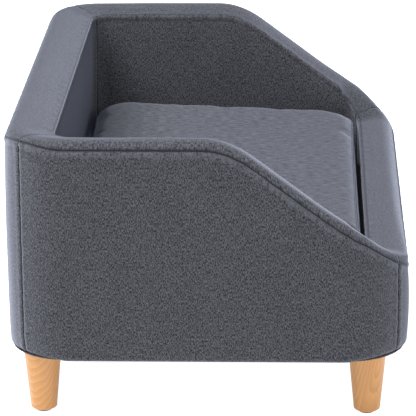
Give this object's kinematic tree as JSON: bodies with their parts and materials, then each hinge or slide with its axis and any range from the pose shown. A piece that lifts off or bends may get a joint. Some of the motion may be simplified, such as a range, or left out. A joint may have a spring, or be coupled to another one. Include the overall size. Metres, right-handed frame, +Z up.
{
  "type": "dog sofa bed",
  "caption": "Small upholstered dog sofa bed with a high back, sloping arms, a low front rail, a loose zipped cushion and tapered wooden screw-in legs.",
  "frame": {"origin": "on the floor under the middle of the body's outside, where the glides stand", "axes": "+X along the sofa to the right as seen from the front, +Y to the back, +Z up"},
  "size_m": [0.75, 0.5, 0.356],
  "materials": {
    "slate_linen": "woven melange",
    "black_cloth": "nonwoven",
    "grey_foam": "open-cell foam",
    "plywood": "raw",
    "pine": "sawn",
    "beech": "satin lacquer",
    "zinc_steel": "zinc plated",
    "dark_steel": "satin",
    "zip_nylon": "woven tape"
  },
  "bodies": {
    "frame": {"back_outer_panel": "slate_linen", "back_top_band": "slate_linen", "back_lining": "slate_linen", "left_outer_panel": "slate_linen", "left_top_band": "slate_linen", "left_lining": "slate_linen", "front_outer_panel": "slate_linen", "front_top_band": "slate_linen", "front_lining": "slate_linen", "right_outer_panel": "slate_linen", "right_top_band": "slate_linen", "right_lining": "slate_linen", "back_board": "plywood", "left_board": "plywood", "front_board": "plywood", "right_board": "plywood", "back_left_bent_ply_corner": "plywood", "front_left_bent_ply_corner": "plywood", "front_right_bent_ply_corner": "plywood", "back_right_bent_ply_corner": "plywood", "back_foam": "grey_foam", "left_foam": "grey_foam", "front_foam": "grey_foam", "right_foam": "grey_foam", "back_left_corner_foam": "grey_foam", "front_left_corner_foam": "grey_foam", "front_right_corner_foam": "grey_foam", "back_right_corner_foam": "grey_foam", "back_left_leg_block": "pine", "back_left_t_nut": "zinc_steel", "front_left_leg_block": "pine", "front_left_t_nut": "zinc_steel", "front_right_leg_block": "pine", "front_right_t_nut": "zinc_steel", "back_right_leg_block": "pine", "back_right_t_nut": "zinc_steel", "back_deck_batten": "pine", "front_deck_batten": "pine", "seat_deck": "plywood", "deck_cloth": "black_cloth", "dust_cover": "black_cloth"},
    "back_left_leg_assembly": {"back_left_leg": "beech", "back_left_hanger_bolt": "zinc_steel", "back_left_glide": "dark_steel"},
    "front_left_leg_assembly": {"front_left_leg": "beech", "front_left_hanger_bolt": "zinc_steel", "front_left_glide": "dark_steel"},
    "front_right_leg_assembly": {"front_right_leg": "beech", "front_right_hanger_bolt": "zinc_steel", "front_right_glide": "dark_steel"},
    "back_right_leg_assembly": {"back_right_leg": "beech", "back_right_hanger_bolt": "zinc_steel", "back_right_glide": "dark_steel"},
    "cushion": {"cushion_cover": "slate_linen", "cushion_foam": "grey_foam", "zip_tape": "zip_nylon"},
    "zip_slider_body": {"zip_slider": "zinc_steel"},
    "zip_pull_body": {"zip_pull": "zinc_steel"}
  },
  "joints": [
    {"name": "back_left_leg_screw", "type": "hinge", "parent": "frame", "child": "back_left_leg_assembly", "pos_m": [-0.33295, 0.20645, 0.08], "axis": [0, 0, 1], "continuous": true},
    {"name": "front_left_leg_screw", "type": "hinge", "parent": "frame", "child": "front_left_leg_assembly", "pos_m": [-0.33295, -0.19985, 0.08], "axis": [0, 0, 1], "continuous": true},
    {"name": "front_right_leg_screw", "type": "hinge", "parent": "frame", "child": "front_right_leg_assembly", "pos_m": [0.33295, -0.19985, 0.08], "axis": [0, 0, 1], "continuous": true},
    {"name": "back_right_leg_screw", "type": "hinge", "parent": "frame", "child": "back_right_leg_assembly", "pos_m": [0.33295, 0.20645, 0.08], "axis": [0, 0, 1], "continuous": true},
    {"name": "cushion_lift", "type": "slide", "parent": "frame", "child": "cushion", "axis": [0, 0, 1], "range_m": [0, 0.3]},
    {"name": "zip_slide", "type": "slide", "parent": "cushion", "child": "zip_slider_body", "axis": [1, 0, 0], "range_m": [-0.395, 0]},
    {"name": "zip_pull_swing", "type": "hinge", "parent": "zip_slider_body", "child": "zip_pull_body", "pos_m": [0.1931, 0.1874, 0.17055], "axis": [0, 0, 1], "range_deg": [-28, 0]}
  ]
}
